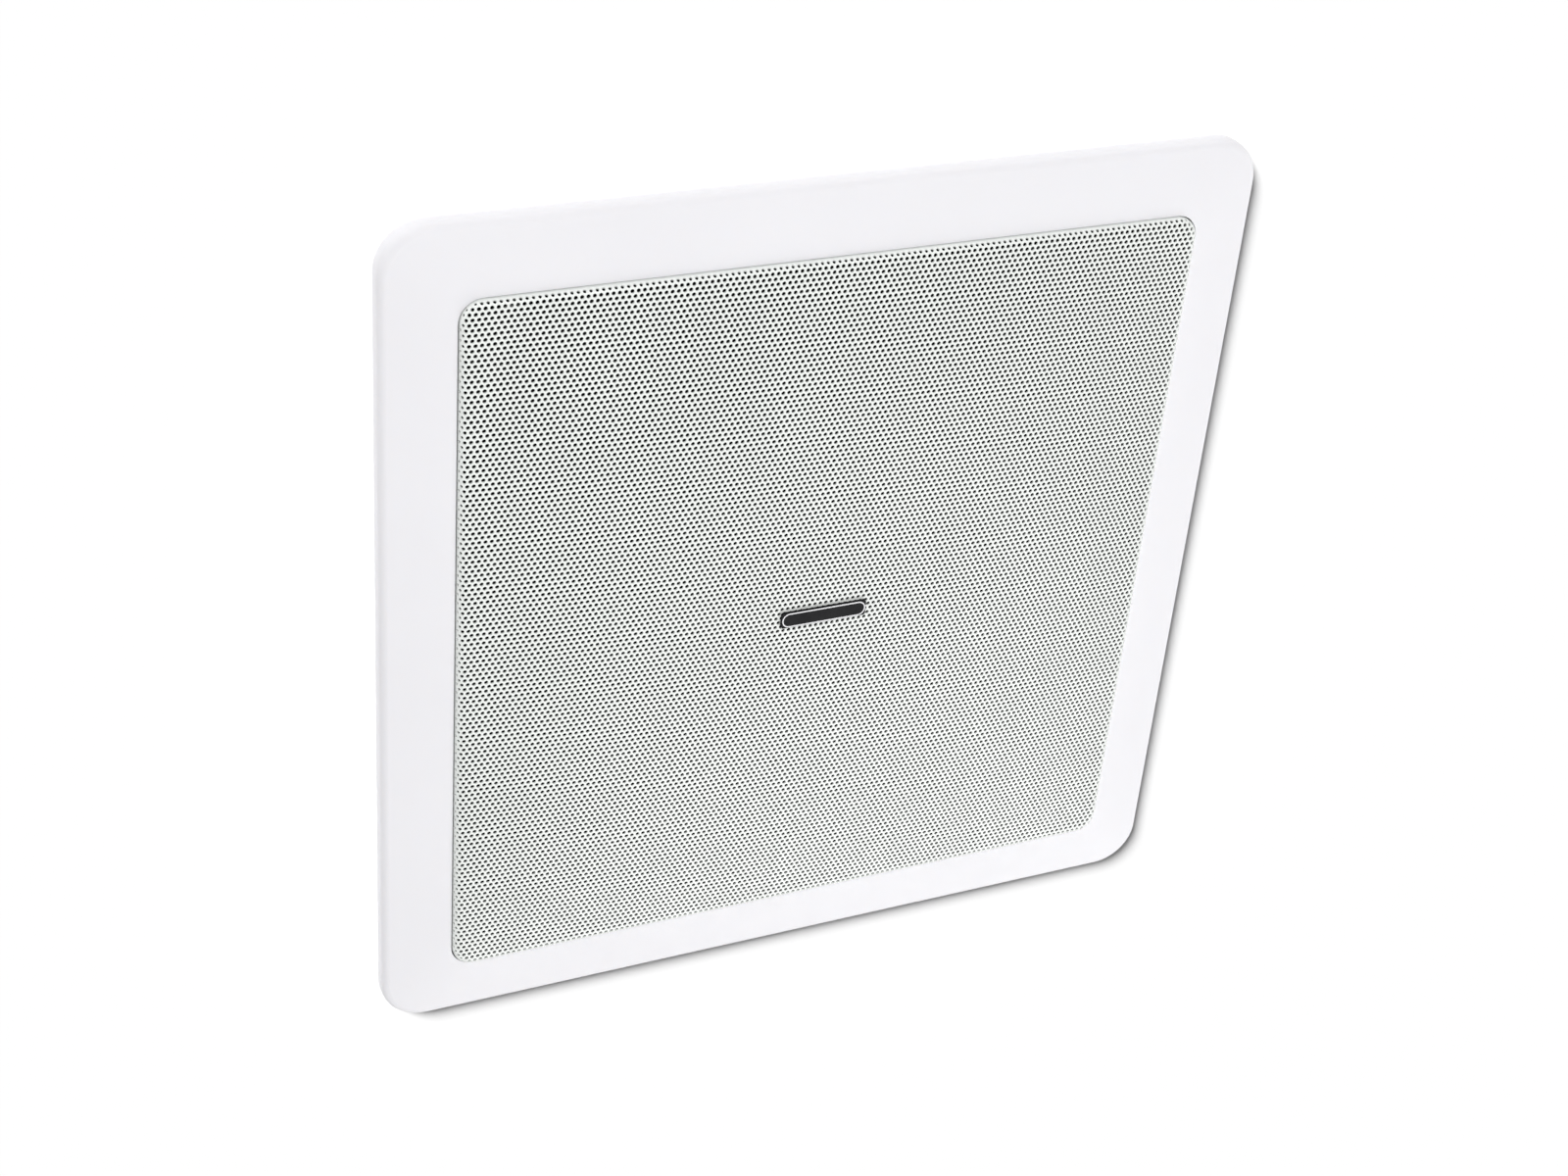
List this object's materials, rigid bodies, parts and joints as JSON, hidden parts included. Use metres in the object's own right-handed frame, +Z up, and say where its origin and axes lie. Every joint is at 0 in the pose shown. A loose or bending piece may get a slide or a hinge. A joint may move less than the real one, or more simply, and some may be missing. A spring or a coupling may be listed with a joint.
{
  "type": "coaxial ceiling speaker",
  "caption": "Square flush ceiling loudspeaker: moulded white frame, crowned perforated grille, coaxial woofer and tweeter, corner clamps and push terminals behind.",
  "frame": {"origin": "centre of the flange's back, on the ceiling's lower face", "axes": "+Z up into the ceiling void, X along the badge, Y towards the badge's edge of the grille"},
  "size_m": [0.3, 0.3, 0.1081],
  "materials": {
    "frame_plastic": "satin white moulding",
    "grille_paint": "fine powder coat",
    "scrim_cloth": "open black cloth",
    "badge_black": "gloss black",
    "gasket_foam": "closed-cell foam",
    "basket_paint": "black enamel",
    "surround_rubber": "soft matt",
    "cone_paper": "pressed pulp",
    "spider_cloth": "resin-stiffened weave",
    "former_metal": "thin foil",
    "copper_wire": "enamelled winding",
    "plated_steel": "zinc plate",
    "ferrite": "sintered grey",
    "screw_steel": "zinc plate",
    "tag_board": "phenolic strip",
    "spacer_metal": "turned",
    "tweeter_plastic": "fine texture",
    "bright_metal": "nickel plate",
    "dome_silk": "coated silk",
    "circuit_board": "solder mask",
    "capacitor_sleeve": "shrink sleeve",
    "terminal_plastic": "moulded",
    "button_red": "moulded",
    "button_black": "moulded",
    "spring_steel": "bright strip",
    "dog_plastic": "glass-filled nylon"
  },
  "bodies": {
    "frame": {"bezel_frame": "frame_plastic", "grille": "grille_paint", "grille_cloth": "scrim_cloth", "badge_plate": "badge_black", "woofer_gasket": "gasket_foam", "woofer_basket": "basket_paint", "woofer_surround": "surround_rubber", "woofer_spider": "spider_cloth", "top_plate": "plated_steel", "ring_magnet": "ferrite", "t_yoke": "plated_steel", "woofer_screws": "screw_steel", "woofer_tag_strip": "tag_board", "tweeter_post": "plated_steel", "post_spacer": "spacer_metal", "post_washer": "screw_steel", "post_nut": "screw_steel", "tweeter_housing": "tweeter_plastic", "tweeter_yoke": "plated_steel", "tweeter_magnet": "bright_metal", "tweeter_pole_plate": "plated_steel", "tweeter_coil": "copper_wire", "tweeter_dome": "dome_silk", "tweeter_faceplate": "tweeter_plastic", "crossover_board": "circuit_board", "board_screws": "screw_steel", "crossover_capacitor": "capacitor_sleeve", "crossover_inductor": "ferrite", "inductor_winding": "copper_wire", "terminal_block": "terminal_plastic", "terminal_spring_red": "spring_steel", "terminal_spring_black": "spring_steel"},
    "diaphragm": {"woofer_cone": "cone_paper", "voice_coil_former": "former_metal", "voice_coil": "copper_wire"},
    "clamp_1": {"clamp_screw_1": "screw_steel"},
    "dog_1": {"clamp_dog_1": "dog_plastic"},
    "clamp_2": {"clamp_screw_2": "screw_steel"},
    "dog_2": {"clamp_dog_2": "dog_plastic"},
    "clamp_3": {"clamp_screw_3": "screw_steel"},
    "dog_3": {"clamp_dog_3": "dog_plastic"},
    "clamp_4": {"clamp_screw_4": "screw_steel"},
    "dog_4": {"clamp_dog_4": "dog_plastic"},
    "button_red": {"terminal_button_red": "button_red"},
    "button_black": {"terminal_button_black": "button_black"}
  },
  "joints": [
    {"name": "cone_excursion", "type": "slide", "parent": "frame", "child": "diaphragm", "axis": [0, 0, 1], "range_m": [-0.004, 0.004], "stiffness_N_per_m": 1500, "deforming": ["woofer_surround", "woofer_spider"]},
    {"name": "clamp_swing_1", "type": "hinge", "parent": "frame", "child": "clamp_1", "pos_m": [0.108, 0.117, 0.02], "axis": [0, 0, -1], "range_deg": [0, 90]},
    {"name": "dog_travel_1", "type": "slide", "parent": "clamp_1", "child": "dog_1", "axis": [0, 0, -1], "range_m": [0, 0.025]},
    {"name": "clamp_swing_2", "type": "hinge", "parent": "frame", "child": "clamp_2", "pos_m": [-0.117, 0.108, 0.02], "axis": [0, 0, -1], "range_deg": [0, 90]},
    {"name": "dog_travel_2", "type": "slide", "parent": "clamp_2", "child": "dog_2", "axis": [0, 0, -1], "range_m": [0, 0.025]},
    {"name": "clamp_swing_3", "type": "hinge", "parent": "frame", "child": "clamp_3", "pos_m": [-0.108, -0.117, 0.02], "axis": [0, 0, -1], "range_deg": [0, 90]},
    {"name": "dog_travel_3", "type": "slide", "parent": "clamp_3", "child": "dog_3", "axis": [0, 0, -1], "range_m": [0, 0.025]},
    {"name": "clamp_swing_4", "type": "hinge", "parent": "frame", "child": "clamp_4", "pos_m": [0.117, -0.108, 0.02], "axis": [0, 0, -1], "range_deg": [0, 90]},
    {"name": "dog_travel_4", "type": "slide", "parent": "clamp_4", "child": "dog_4", "axis": [0, 0, -1], "range_m": [0, 0.025]},
    {"name": "press_red", "type": "slide", "parent": "frame", "child": "button_red", "axis": [0, 0, -1], "range_m": [0, 0.003], "stiffness_N_per_m": 600, "springref_m": -0.001, "deforming": ["terminal_spring_red"]},
    {"name": "press_black", "type": "slide", "parent": "frame", "child": "button_black", "axis": [0, 0, -1], "range_m": [0, 0.003], "stiffness_N_per_m": 600, "springref_m": -0.001, "deforming": ["terminal_spring_black"]}
  ]
}
